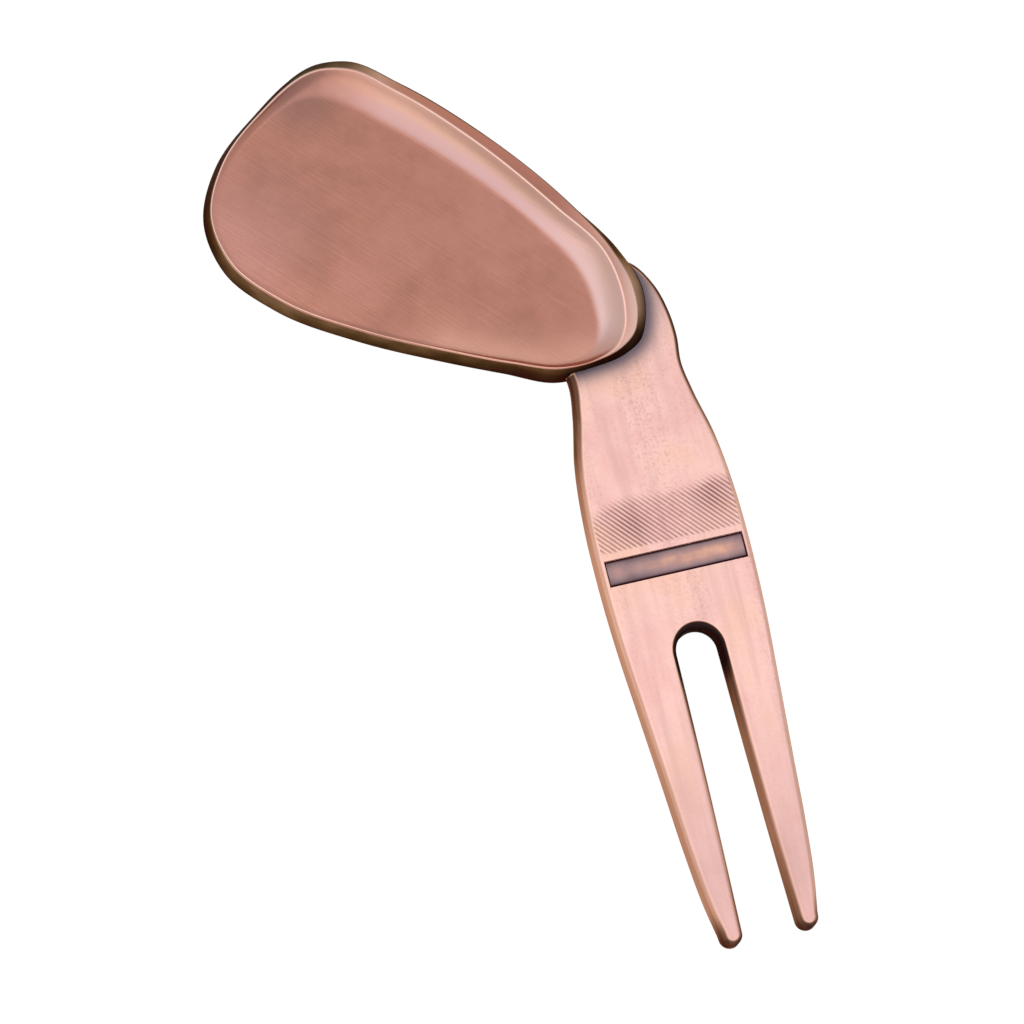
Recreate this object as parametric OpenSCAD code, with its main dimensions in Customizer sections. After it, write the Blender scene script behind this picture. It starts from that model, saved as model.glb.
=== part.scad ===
// Divot repair tool: a flat two-tine fork whose neck carries a head shaped like
// a golf iron.  It lies on its back: +Z is up, +Y runs from the tine tips to the
// head, and the origin is under the middle of its overall length and width.

/* [Blade] */
// Thickness of the fork blade
blade_t = 2.8; // [2.5:0.1:3.1]
// Width of the blade at its widest, across the shank
shank_w = 16; // [15:0.2:17]
// Distance from the tine tips to the closed end of the slot
slot_len = 31.9; // [28:0.1:34]
// Width of the slot at its closed end
slot_root_w = 4.4; // [4.2:0.1:4.8]
// Width of the slot at the tine tips
slot_mouth_w = 5.7; // [5.2:0.1:6]
// Width of the bevel along the blade's front edges
edge_w = 0.45; // [0.3:0.05:0.6]
// Depth of the bevel along the blade's front edges
edge_h = 0.6; // [0.4:0.05:0.8]
// How much further the bevel is dished out at the closed end of the slot
scoop = 0.2; // [0:0.05:0.7]

/* [Head] */
// Thickness of the head at the heel, where it stands on the neck
heel_t = 4.9; // [4.6:0.1:5.4]
// Thickness of the head at the toe
toe_t = 3.7; // [3.5:0.1:4.4]
// Depth of the dished face below the lip along the sole
dish_depth = 1.3; // [0.9:0.1:1.5]
// Radius of the small round along the head's back edge
back_round = 0.35; // [0.2:0.05:0.45]

/* [Tang and pins] */
// Thickness of the tang that the head sits on
tang_t = 1.8; // [1.5:0.1:1.9]
// Diameter of each pin's shank
pin_d = 1.8; // [1.5:0.1:2]
// Diameter of each pin's countersunk head
pin_head_d = 3.2; // [2.8:0.1:3.4]
// Height of the countersunk cone
pin_cone_h = 0.7; // [0.5:0.05:0.8]
// Overall length of each pin
pin_len = 2.7; // [2.4:0.1:2.8]
// Distance between the two pins
pin_pitch = 5; // [4:0.2:5.4]

/* [Inlay] */
// Length of the inlay band across the shank
band_l = 14.4; // [12:0.2:14.6]
// Width of the inlay band along the shank
band_w = 2.6; // [2:0.1:3]
// Thickness of the inlay band
band_t = 0.25; // [0.2:0.05:0.3]
// Depth of the pocket that the inlay lies in
band_pocket = 0.4; // [0.35:0.05:0.6]
// Distance from the tine tips to the middle of the inlay
band_y = 39.15; // [37.5:0.05:40]

/* [Fits] */
// Gap round the tang and the inlay in their pockets
seat_gap = 0.05; // [0.03:0.01:0.1]
// Gap round the shank of a pin in its hole
pin_gap = 0.02; // [0.01:0.01:0.05]

/* [Hidden] */
$fn = 48;
over = 1;            // how far a cutter runs past the face that it cuts
touch = 0.001;       // overlap of two cutters that meet
steps = 8;           // segments between two neighbouring control points

// Outer edge of the blade's right half, from the tine tip to the end of the neck
side_x = shank_w / 16;
blade_side = [for (p = [[5.1, 1.3], [5.67, 4.5], [6.3, 10.5], [6.75, 17], [7.36, 25.5], [7.8, 32],
                        [8.0, 38.5], [7.9, 44.5], [7.25, 51], [6.2, 55.8], [5.8, 58.6], [6.05, 61.5],
                        [5.85, 64.2], [5.05, 67.1], [3.2, 69.8], [0, 70.8]]) [p[0] * side_x, p[1]]];
slot_r = slot_root_w / 2;
slot_y = slot_len - slot_r;
tip_x = (slot_mouth_w / 2 + blade_side[0][0]) / 2;
tip_r = (blade_side[0][0] - slot_mouth_w / 2) / 2;
slot_side = [[slot_r, slot_y], [slot_r * 1.07, slot_y * 0.67], [slot_mouth_w * 0.45, slot_y * 0.36],
             [slot_mouth_w / 2, tip_r]];
tip_steps = 6;

// Blade section, as [height, distance in from the outline]: a small round along the
// back, a slight lean for the mould, and the front bevel
shoulder_in = 0.1;
blade_section = [[0, 0.2], [0.3, 0], [blade_t - edge_h, shoulder_in]];
root_in = shoulder_in + edge_w + scoop;     // how far in the front face starts above the slot
row_gap = 0.2;                              // room left between the slot and the first row above it

// The head's outlines run round together from beside the neck, anticlockwise: the
// widest outline, the outer front edge with its drop below the rim, the lip of the
// dish, and the edge of the flat floor.  The points with one index face each other.
widest = [[-3, 59.7], [0.2, 60.25], [2.4, 61.5], [3.6, 63.9], [4.0, 67.0], [2.6, 71.3], [-1.2, 77.2],
          [-8.5, 86.6], [-15, 92.9], [-19.7, 96.25], [-22.7, 96.6], [-30.6, 92.7], [-35.3, 88.6],
          [-37.85, 83.3], [-37, 77.9], [-33, 73.1], [-25.6, 68.2], [-17.7, 64.3], [-11.9, 61.75],
          [-6.8, 59.65]];
front_edge = [[-3.2, 60.25, 0.1], [-0.2, 61.1, 0.15], [1.4, 62.4, 0.3], [2.15, 64.3, 0.35],
              [2.3, 67.1, 0.35], [1.5, 70.7, 0.6], [-1.55, 76.9, 1.2], [-8.8, 86.3, 1.3],
              [-15.2, 92.6, 1.3], [-19.8, 95.95, 1.0], [-22.7, 96.3, 0.5], [-30.5, 92.45, 0.15],
              [-35.1, 88.4, 0.1], [-37.55, 83.25, 0.1], [-36.7, 78.0, 0.1], [-32.8, 73.3, 0.1],
              [-25.5, 68.4, 0.1], [-17.6, 64.5, 0.1], [-11.8, 61.95, 0.1], [-6.6, 60.2, 0.1]];
lip = [[-3.3, 60.35], [-0.8, 61.3], [0.4, 62.9], [1.0, 65.2], [1.05, 67.8], [0.5, 70.8], [-3.1, 76.4],
       [-9.8, 85.3], [-16.1, 91.8], [-20.1, 94.9], [-22.6, 95.5], [-30.35, 92.2], [-34.95, 88.2],
       [-37.4, 83.2], [-36.55, 78.1], [-32.7, 73.45], [-25.4, 68.55], [-17.5, 64.65], [-11.7, 62.1],
       [-6.6, 60.35]];
floor_edge = [[-4.2, 61.3], [-2.9, 62.4], [-2.3, 64.0], [-2.2, 66.2], [-2.4, 68.6], [-3.2, 71.0],
              [-5.6, 75.0], [-12.0, 82.9], [-18.4, 88.9], [-21.8, 91.6], [-24.4, 92.9],
              [-30.3, 91.0], [-34.2, 87.5], [-36.7, 83.0], [-36, 78.4], [-32.3, 73.9],
              [-25.2, 69.0], [-17.3, 65.1], [-11.6, 62.7], [-6.9, 61.1]];
neck_line_in = 0.35;      // how far the head's wall has leant in at the blade's front face
girth_h = 0.5;            // height at which the head is widest

// The rim lies in one plane that falls from heel to toe, and the floor in another
heel_ref = [1, 63];
toe_dir = [-0.835, 0.549];
head_len = 41;
dish_ref = [-20, 61.5];
dish_dir = [0.8, 0.6];
dish_run = 20;

// The whole tool is placed by the middle of its box
rim = spline(widest);
centre_x = (min([for (p = rim) p[0]]) + max([for (p = spline(blade_side, false)) p[0]])) / 2;
centre_y = max([for (p = rim) p[1]]) / 2;
band_bed = blade_t - band_pocket;
pin_y0 = 62.7;
pin_x = -0.9;
pin_room = 0.1;      // depth of the head's blind holes past the pins' ends

// Height of the rim plane, and of the dish floor, over a point
function rim_z(p) = heel_t - (heel_t - toe_t) * ([p[0], p[1]] - heel_ref) * toe_dir / head_len;
function floor_z(p) = rim_z(p) - dish_depth * max(0, ([p[0], p[1]] - dish_ref) * dish_dir) / dish_run;

// A smooth curve through control points: cubic pieces whose tangents are weighted by chord
function pick(pts, i, closed) =
    let (n = len(pts))
    closed ? pts[(i + n) % n]
    : i < 0 ? 2 * pts[0] - pts[1]
    : i >= n ? 2 * pts[n - 1] - pts[n - 2]
    : pts[i];
function tangent(a, b, c) =
    let (d = norm(b - a), e = norm(c - b))
    ((b - a) / d * e + (c - b) / e * d) / (d + e);
function cubic(p, q, m, n, t) =
    (2 * t^3 - 3 * t^2 + 1) * p + (t^3 - 2 * t^2 + t) * m
    + (3 * t^2 - 2 * t^3) * q + (t^3 - t^2) * n;
function spline(pts, closed = true) = [
    for (i = [0 : len(pts) - (closed ? 1 : 2)])
        let (a = pick(pts, i - 1, closed), b = pts[i], c = pick(pts, i + 1, closed),
             d = pick(pts, i + 2, closed), l = norm(c - b))
        for (k = [0 : steps - 1]) cubic(b, c, tangent(a, b, c) * l, tangent(b, c, d) * l, k / steps)
];

// A closed anticlockwise outline moved in along its own normals; `by` is a distance or a list
function inward(outline, by) =
    let (n = len(outline))
    [for (i = [0 : n - 1])
        let (along = outline[(i + 1) % n] - outline[(i + n - 1) % n],
             d = is_list(by) ? by[i] : by)
        outline[i] + d * [-along[1], along[0]] / norm(along)];
function arc(centre, r, a0, a1, n) =
    [for (k = [0 : n]) let (a = a0 + (a1 - a0) * k / n) centre + r * [cos(a), sin(a)]];
function at_height(outline, z) = [for (p = outline) [p[0], p[1], z]];

// The blade's outline.  Its right half runs from the closed end of the slot down to
// the tine tip, back up the outside past matching heights, and on to the end of the neck.
side_curve = spline(blade_side, false);
function side_at(y) = [lookup(y, [for (p = side_curve) [p[1], p[0]]]), y];
function rise(p) = (p[1] - slot_y) / slot_r;     // 0 at the foot of the slot's round end, 1 at its top
slot_chain = concat([for (a = [90 : -10 : 10]) [0, slot_y] + slot_r * [cos(a), sin(a)]],
                    spline(slot_side, false), arc([tip_x, tip_r], tip_r, 180, 270, tip_steps));
last = len(slot_chain) - 1;
tine_chain = concat(arc([tip_x, tip_r], tip_r, 270 + 90 / tip_steps, 360, tip_steps - 1),
                    [for (i = [last - tip_steps - 1 : -1 : 0]) let (p = slot_chain[i])
                        side_at(p[1] + (root_in + row_gap) * max(0, rise(p))^2)]);
neck_chain = concat([for (p = side_curve) if (p[1] > slot_len + root_in + 2 * row_gap) p],
                    [blade_side[len(blade_side) - 1]]);
half_blade = concat(slot_chain, tine_chain, neck_chain);
half_n = len(half_blade);
blade_outline = concat(half_blade,
                       [for (i = [half_n - 2 : -1 : 1]) [-half_blade[i][0], half_blade[i][1]]]);
blade_n = len(blade_outline);
// Triangles that fill the outline: across each tine, then from side to side above the slot
function quad(a, b, c, d) = [[a, b, c], [a, c, d]];
blade_cap = concat(
    [for (k = [0 : last - 1]) each quad(k, k + 1, 2 * last - k - 1, 2 * last - k)],
    [for (k = [0 : last - 1]) let (outer = blade_n - 2 * last + k)
        each quad((blade_n - k) % blade_n, outer, outer + 1, blade_n - k - 1)],
    [[0, 2 * last, blade_n - 2 * last]],
    [for (k = [2 * last : half_n - 3]) each quad(k, k + 1, blade_n - k - 1, blade_n - k)],
    [[half_n - 2, half_n - 1, half_n]]);
// How far in the front face starts, which is further round the closed end of the slot
front_in = [for (p = blade_outline)
    let (round_slot_end = rise(p) > 0 && norm(p - [0, slot_y]) < slot_r + touch)
    shoulder_in + edge_w + (round_slot_end ? scoop * rise(p)^2 : 0)];

// A solid lofted up through rings of equal length.  `cap` is the triangles of its ends,
// anticlockwise from above: a fan, which suits an outline with no hollows, if not given.
module loft(rings, cap) {
    n = len(rings[0]);
    top = (len(rings) - 1) * n;
    ends = is_undef(cap) ? [for (i = [1 : n - 2]) [0, i, i + 1]] : cap;
    sides = [for (k = [0 : len(rings) - 2]) for (i = [0 : n - 1])
        let (a = k * n + i, b = k * n + (i + 1) % n)
        each [[a, a + n, b + n], [a, b + n, b]]];
    polyhedron(points = [for (ring = rings) each ring],
               faces = concat(ends, sides, [for (t = ends) [top + t[2], top + t[1], top + t[0]]]));
}

module placed() {
    translate([-centre_x, -centre_y, 0]) children();
}

// The head's wall between its widest outline and the line where it meets the neck
function wall(z, gap = 0) =
    at_height(inward(rim, neck_line_in * (z - girth_h) / (blade_t - girth_h) - gap), z);

// Solid that the neck gives up so that the head can stand on the tang
module head_seat() {
    loft([wall(tang_t, seat_gap), wall(blade_t + over, seat_gap)]);
}

module pin_holes(gap) {
    for (k = [0, 1]) translate([pin_x, pin_y0 + k * pin_pitch, 0]) {
        translate([0, 0, -over]) cylinder(d = pin_d + 2 * gap, h = pin_len + 2 * over);
        cylinder(d1 = pin_head_d + 2 * gap, d2 = pin_d + 2 * gap, h = pin_cone_h);
        translate([0, 0, -over]) cylinder(d = pin_head_d + 2 * gap, h = over + touch);
    }
}

// Two-tine fork, shank, neck and thin tang, cast in one piece
module fork_blade() {
    color([0.93, 0.74, 0.68]) placed() difference() {
        loft(concat([for (s = blade_section) at_height(inward(blade_outline, s[1]), s[0])],
                    [at_height(inward(blade_outline, front_in), blade_t)]), blade_cap);
        head_seat();
        translate([-band_l / 2 - seat_gap, band_y - band_w / 2 - seat_gap, band_bed])
            cube([band_l + 2 * seat_gap, band_w + 2 * seat_gap, band_pocket + over]);
        pin_holes(pin_gap);
    }
}

// Iron-shaped head with a dished face, cast in one piece, with a pocket for the tang
module club_head() {
    edge = spline(front_edge);
    lips = spline(lip);
    floors = spline(floor_edge);
    n = len(rim);
    dish = [for (u = [0, 0.3, 0.65, 1]) [for (i = [0 : n - 1])
        let (p = lips[i] + u * (floors[i] - lips[i]))
        [p[0], p[1], floor_z(p) + (rim_z(lips[i]) - floor_z(lips[i])) * (1 - u)^2]]];
    color([0.72, 0.50, 0.44]) placed() difference() {
        loft(concat([at_height(inward(rim, back_round), 0), wall(girth_h), wall(blade_t),
                     [for (p = edge) [p[0], p[1], rim_z(p) - p[2]]]], dish));
        translate([0, 0, -over]) linear_extrude(over + tang_t + seat_gap)
            polygon(inward(blade_outline, -seat_gap));
        for (k = [0, 1]) translate([pin_x, pin_y0 + k * pin_pitch, 0])
            cylinder(d = pin_d + 2 * pin_gap, h = pin_len + pin_room);
    }
}

// Dark inlay band glued into its pocket across the shank
module band_inlay() {
    color([0.36, 0.28, 0.27]) placed()
        translate([-band_l / 2, band_y - band_w / 2, band_bed]) cube([band_l, band_w, band_t]);
}

// Countersunk pin pressed through the tang into the head from behind
module tang_pin() {
    cylinder(d1 = pin_head_d, d2 = pin_d, h = pin_cone_h);
    cylinder(d = pin_d, h = pin_len);
}

module tang_pin_lower() {
    color([0.80, 0.55, 0.45]) placed() translate([pin_x, pin_y0, 0]) tang_pin();
}

module tang_pin_upper() {
    color([0.80, 0.55, 0.45]) placed() translate([pin_x, pin_y0 + pin_pitch, 0]) tang_pin();
}

fork_blade();
club_head();
band_inlay();
tang_pin_lower();
tang_pin_upper();
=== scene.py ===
import math
import bpy
import numpy as np
from mathutils import Matrix, Vector, kdtree, noise


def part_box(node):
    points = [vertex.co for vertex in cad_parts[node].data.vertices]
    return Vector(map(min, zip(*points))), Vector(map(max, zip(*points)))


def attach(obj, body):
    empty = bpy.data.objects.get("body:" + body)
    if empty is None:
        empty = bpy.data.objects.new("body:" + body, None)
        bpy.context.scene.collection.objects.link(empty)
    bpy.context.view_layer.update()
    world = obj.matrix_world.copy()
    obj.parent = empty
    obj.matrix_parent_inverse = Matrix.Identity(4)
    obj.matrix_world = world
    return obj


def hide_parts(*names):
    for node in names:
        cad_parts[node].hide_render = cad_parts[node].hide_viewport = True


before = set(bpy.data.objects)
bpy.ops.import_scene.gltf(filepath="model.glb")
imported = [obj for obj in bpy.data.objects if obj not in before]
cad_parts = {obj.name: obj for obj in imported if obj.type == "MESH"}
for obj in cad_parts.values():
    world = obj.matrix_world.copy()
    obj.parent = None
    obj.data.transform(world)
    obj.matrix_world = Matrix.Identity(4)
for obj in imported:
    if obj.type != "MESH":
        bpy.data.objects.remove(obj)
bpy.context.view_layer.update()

# ---- Fork blade --------------------------------------------------------------------
# Two tines, shank, neck and the thin tang behind the head, cast in one from zinc alloy.
# It is copper plated, dipped to darken it, and buffed by hand, so the flats are bright
# rose copper and the walls, the slot and the cut lines keep the brown patina; painted
# shade and painted reflection darken the walls further.
MM = 0.001
blade_low, blade_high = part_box("fork_blade")
AXIS_X = (blade_low.x + blade_high.x) / 2     # the line up the middle of the fork
TIPS_Y = blade_low.y                          # the line that the tips touch
BLADE_T = (blade_high.z - blade_low.z) / MM
SKIN = 0.01                                   # everything stays this far inside the CAD outline
CRISP = 35                                    # degrees; flatter edges than this are shaded smooth


def spline(points, steps, closed=True):
    """A smooth curve through given points, with tangents weighted by chord."""
    p = np.array(points, float)
    if closed:
        around = np.vstack([p[-1:], p, p[:2]])
    else:
        around = np.vstack([2 * p[0] - p[1], p, 2 * p[-1] - p[-2]])
    leg = np.diff(around, axis=0)
    length = np.linalg.norm(leg, axis=1, keepdims=True)
    slope = leg / length
    tangent = (slope[:-1] * length[1:] + slope[1:] * length[:-1]) / (length[:-1] + length[1:])
    curve = []
    for i in range(len(p) if closed else len(p) - 1):
        a, b, run = around[i + 1], around[i + 2], length[i + 1]
        for t in np.arange(steps) / steps:
            curve.append((2 * t**3 - 3 * t**2 + 1) * a + (t**3 - 2 * t**2 + t) * run * tangent[i]
                         + (3 * t**2 - 2 * t**3) * b + (t**3 - t**2) * run * tangent[i + 1])
    return np.array(curve)


def inward(outline, by):
    """A closed anticlockwise outline moved in along its own normals."""
    along = np.roll(outline, -1, axis=0) - np.roll(outline, 1, axis=0)
    along /= np.linalg.norm(along, axis=1, keepdims=True)
    return outline + np.reshape(by, (-1, 1)) * np.stack([-along[:, 1], along[:, 0]], axis=1)


def at_height(outline, z):
    """A flat outline as a ring of points at one height."""
    return np.column_stack([outline, np.full(len(outline), z)])


def arc(centre, radius, start, end, count):
    """Points along part of a circle, between two angles in degrees."""
    angles = np.radians(np.linspace(start, end, count))
    return np.array(centre) + radius * np.stack([np.cos(angles), np.sin(angles)], axis=1)


def walls(rings, first=0):
    """Quads between rings of equal length, anticlockwise from outside, bottom ring first."""
    n = len(rings[0])
    return [(first + k * n + i, first + k * n + (i + 1) % n,
             first + (k + 1) * n + (i + 1) % n, first + (k + 1) * n + i)
            for k in range(len(rings) - 1) for i in range(n)]


def make_piece(name, points, faces, sharp=CRISP):
    """A mesh from points in mm, x from the fork's axis, y from its tips and z from its back."""
    mesh = bpy.data.meshes.new(name)
    place = np.array([AXIS_X, TIPS_Y, 0])
    mesh.from_pydata((np.array(points) * MM + place).tolist(), [], [list(f) for f in faces])
    mesh.validate()
    mesh.shade_smooth()
    mesh.set_sharp_from_angle(angle=math.radians(sharp))
    made = bpy.data.objects.new(name, mesh)
    bpy.context.scene.collection.objects.link(made)
    return made


def cut(made, points, faces, sharp=CRISP):
    """Takes a closed solid out of a piece."""
    tool = make_piece("cutter", points, faces)
    modifier = made.modifiers.new("cut", "BOOLEAN")
    modifier.operation = "DIFFERENCE"
    modifier.solver = "EXACT"
    modifier.object = tool
    bpy.context.view_layer.objects.active = made
    bpy.ops.object.modifier_apply(modifier="cut")
    bpy.data.objects.remove(tool)
    made.data.shade_smooth()
    made.data.set_sharp_from_angle(angle=math.radians(sharp))


def keep_note(made, name, values):
    """Stores one number a point, which the finish reads."""
    note = made.data.attributes.new(name, "FLOAT", "POINT")
    note.data.foreach_set("value", np.array(values, np.float32))


def places(made):
    """The piece's points in mm from the fork's axis, tips and back."""
    co = np.empty(len(made.data.vertices) * 3, np.float32)
    made.data.vertices.foreach_get("co", co)
    return (co.reshape(-1, 3) - np.array([AXIS_X, TIPS_Y, 0])) / MM


def nearby(line):
    """A tree that finds the point of a flat line which is nearest to a place."""
    tree = kdtree.KDTree(len(line))
    for i, p in enumerate(line):
        tree.insert((p[0], p[1], 0), i)
    tree.balance()
    return tree


def beside(made, line, reach, above):
    """How close each point above a height is to a line: 1 on it, fading out over the reach."""
    tree = nearby(line)
    return [math.exp(-(tree.find((x, y, 0))[2] / reach)**2) * (z > above) for x, y, z in places(made)]


def linear(hex_colour):
    """An sRGB hex colour as the linear numbers that a shader takes."""
    parts = [int(hex_colour[i:i + 2], 16) / 255 for i in (1, 3, 5)]
    return [c / 12.92 if c <= 0.04045 else ((c + 0.055) / 1.055)**2.4 for c in parts] + [1]


def add(tree, kind, settings=None, **links):
    """One shader node.  Settings are its properties, colour stops or constant sockets.

    Links are its sources, by the socket's name, or by _ and the socket's number.
    """
    node = tree.nodes.new("ShaderNode" + kind)
    for name, value in (settings or {}).items():
        if name == "stops":
            ramp = node.color_ramp.elements
            for k, (at, colour) in enumerate(value):
                stop = ramp[k] if k < 2 else ramp.new(at)
                stop.position, stop.color = at, linear(colour)
        elif isinstance(name, str) and hasattr(node, name):
            setattr(node, name, value)
        else:
            node.inputs[name].default_value = value
    for name, source in links.items():
        tree.links.new(source, node.inputs[int(name[1:]) if name[1:].isdigit() else name])
    return node


GLANCING = "#9A8272"    # the plate's reflection at a glancing angle: brown on the walls, not grey


def finish(name, metallic):
    """A new finish: its material, node tree, shader, and the place of each point in mm."""
    material = bpy.data.materials.new(name)
    material.use_nodes = True
    tree = material.node_tree
    tree.nodes.clear()
    shader = add(tree, "BsdfPrincipled", {"Metallic": metallic, "Specular Tint": linear(GLANCING)})
    add(tree, "OutputMaterial", Surface=shader.outputs[0])
    spot = add(tree, "Mapping", {"Location": (-AXIS_X / MM, -TIPS_Y / MM, 0), "Scale": (1 / MM,) * 3},
               Vector=add(tree, "TexCoord").outputs["Object"]).outputs[0]
    return material, tree, shader, spot


# the fork's right side, from the tine's tip to the top of the tang
blade_side = spline([[5.1, 1.3], [5.67, 4.5], [6.3, 10.5], [6.75, 17], [7.36, 25.5], [7.8, 32],
                     [8.0, 38.5], [7.9, 44.5], [7.25, 51], [6.2, 55.8], [5.8, 58.6], [6.05, 61.5],
                     [5.85, 64.2], [5.05, 67.1], [3.2, 69.8], [0, 70.8]], 14, closed=False)

# the right half of the slot, from the top of its round end down to the bottom of the tip
SLOT_R, SLOT_Y, SLOT_MOUTH = 2.2, 29.7, 2.85  # round end, height of its centre, half the mouth
TIP_R, TIP_X = 1.125, 3.975                   # round tip of a tine, and its centre
TIP_POINTS = 14                               # points round half a tip
slot_side = spline([[SLOT_R, SLOT_Y], [SLOT_R * 1.07, SLOT_Y * 0.67], [SLOT_MOUTH * 0.9, SLOT_Y * 0.36],
                    [SLOT_MOUTH, TIP_R]], 24, closed=False)
slot_chain = np.vstack([arc([0, SLOT_Y], SLOT_R, 90, 4, 26), slot_side,
                        arc([TIP_X, TIP_R], TIP_R, 180, 270, TIP_POINTS)])
last = len(slot_chain) - 1

# each point beside the slot has a partner on the tine's outer side, so that rows of faces can
# join them; the partners of its round end sit a little higher, to leave room for its wide edge
EDGE_W, EDGE_H = 0.5, 0.6                     # the front's rounded edge, across and down
SCOOP = 0.22                                  # how much wider that edge is at the slot's end
LEAN = 0.1                                    # how far in the walls have leant by that edge
ROOM = 0.3                                    # kept between rows of points above the slot
side_n = last - TIP_POINTS + 1
rise = np.clip((slot_chain[:side_n, 1] - SLOT_Y) / SLOT_R, 0, 1)
outer_y = slot_chain[:side_n, 1] + (EDGE_W + SCOOP + LEAN + ROOM) * rise**2
outside = np.stack([np.interp(outer_y, blade_side[:, 1], blade_side[:, 0]), outer_y], axis=1)[::-1]
right_half = np.vstack([slot_chain, arc([TIP_X, TIP_R], TIP_R, 270, 360, TIP_POINTS)[1:], outside,
                        blade_side[blade_side[:, 1] > outer_y[0] + ROOM], [[0, 70.8]]])
half_n = len(right_half)
outline = np.vstack([right_half, right_half[-2:0:-1] * [-1, 1]])
outline_n = len(outline)
round_end = np.linalg.norm(outline - [0, SLOT_Y], axis=1) < SLOT_R + 0.001
deeper = np.where(round_end & (outline[:, 1] > SLOT_Y), SCOOP * ((outline[:, 1] - SLOT_Y) / SLOT_R)**2, 0)

# rings from the back's small round edge up the wall, then over the front edge in even turns
BACK_AND_WALL = ((0, 0.40), (0.03, 0.26), (0.1, 0.13), (0.22, 0.04), (0.4, 0), (1.2, 0.04), (1.8, 0.07))
FRONT_FLAT = 0.1                              # a last narrow ring, which keeps the face flat
blade_rings = [at_height(inward(outline, SKIN + far_in), z) for z, far_in in BACK_AND_WALL]
for turn in np.radians([0, 15, 30, 45, 60, 75, 90]):
    far_in = SKIN + LEAN + (1 - math.cos(turn)) * (EDGE_W + deeper)
    blade_rings.append(at_height(inward(outline, far_in), BLADE_T - EDGE_H + EDGE_H * math.sin(turn)))
blade_rings.append(at_height(inward(outline, SKIN + LEAN + FRONT_FLAT + EDGE_W + deeper), BLADE_T))
blade_points = list(np.vstack(blade_rings))
blade_faces = walls(blade_rings)
COLUMNS = 16                                  # faces across one tine
WAVE, WAVE_LENGTH = 0.012, 7                  # how far the hand-buffed face swells, and over what length


def fill_blade(first, swell, upwards):
    """Fills the outline's ring with rows of faces across each tine and across the neck."""
    def row(start, end, columns):
        a, b = blade_points[first + start % outline_n], blade_points[first + end % outline_n]
        between = []
        for t in np.arange(1, columns) / columns:
            p = a + (b - a) * t
            fade = math.sin(math.pi * t)**0.5
            wave = noise.noise(Vector((p[0], p[1], 3)) / WAVE_LENGTH)
            p[2] -= swell * fade * (0.5 + 0.5 * wave)
            blade_points.append(p)
            between.append(len(blade_points) - 1)
        return [first + start % outline_n, *between, first + end % outline_n]

    rows_right = [row(k, 2 * last - k, COLUMNS) for k in range(last)]
    rows_left = [row(k - 2 * last, -k, COLUMNS) for k in range(last)]
    rows_neck = [rows_left[0] + rows_right[0][1:]]
    rows_neck += [row(-k, k, 2 * COLUMNS) for k in range(2 * last + 1, half_n - 1)]
    faces = []
    for rows in (rows_right[::-1], rows_left[::-1], rows_neck):
        faces += [(low[c], low[c + 1], high[c + 1], high[c])
                  for low, high in zip(rows, rows[1:]) for c in range(len(low) - 1)]
    for low, point in ((rows_right[-1][::-1], first + last),
                       (rows_left[-1][::-1], first + outline_n - last),
                       (rows_neck[-1], first + half_n - 1)):
        faces += [(low[c], low[c + 1], point) for c in range(len(low) - 1)]
    return faces if upwards else [f[::-1] for f in faces]


blade_faces += fill_blade(0, 0, False)
blade_faces += fill_blade((len(blade_rings) - 1) * outline_n, WAVE, True)
fork = make_piece("cast_fork", blade_points, blade_faces)

# the pocket that the inlay lies in
BAND_LOW, BAND_HIGH = (np.array(corner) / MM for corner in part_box("band_inlay"))
POCKET_GAP = 0.05                             # the film of glue round the inlay
pocket_x = (BAND_HIGH[0] - BAND_LOW[0]) / 2 + POCKET_GAP
pocket_y0 = BAND_LOW[1] - TIPS_Y / MM - POCKET_GAP
pocket_y1 = BAND_HIGH[1] - TIPS_Y / MM + POCKET_GAP
pocket = np.array([[-pocket_x, pocket_y0], [pocket_x, pocket_y0],
                   [pocket_x, pocket_y1], [-pocket_x, pocket_y1]])
cut(fork, np.vstack([at_height(pocket, BAND_LOW[2]), at_height(pocket, BLADE_T + 1)]),
    walls([pocket, pocket]) + [(3, 2, 1, 0), (4, 5, 6, 7)])

# slanting grooves above the inlay, each fading in from its top end; a little coarser than
# the real ones, to show
GROOVE_PITCH, GROOVE_W, GROOVE_D = 0.4, 0.24, 0.1
GROOVE_ANGLE = -47.5                          # degrees from the x axis
GROOVE_STEP, FEWEST_STEPS = 0.05, 12          # how finely a groove is followed, and the shortest one
RUN_IN, RUN_OUT = 1.2, 0.25                   # over which a groove gets deep, and ends
PROUD = 0.005                                 # the cutter's shoulders stand this far above the face
HATCH_Y, HATCH_X = 41.25, 7.25                # the grooved patch: its lower edge and half its width
HATCH_TOP = np.array([[-7.3, 45.3], [-6.2, 46.2], [-3.5, 46.7], [0.5, 46.4],
                      [3.5, 46.5], [6, 47.1], [7.3, 46.6]])
groove_way = np.array([math.cos(math.radians(GROOVE_ANGLE)), math.sin(math.radians(GROOVE_ANGLE))])
groove_side = np.array([-groove_way[1], groove_way[0]])


def in_hatch(p):
    """Whether a place is in the grooved patch, whose upper edge is uneven."""
    return abs(p[0]) < HATCH_X and HATCH_Y < p[1] < np.interp(p[0], HATCH_TOP[:, 0], HATCH_TOP[:, 1])


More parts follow.
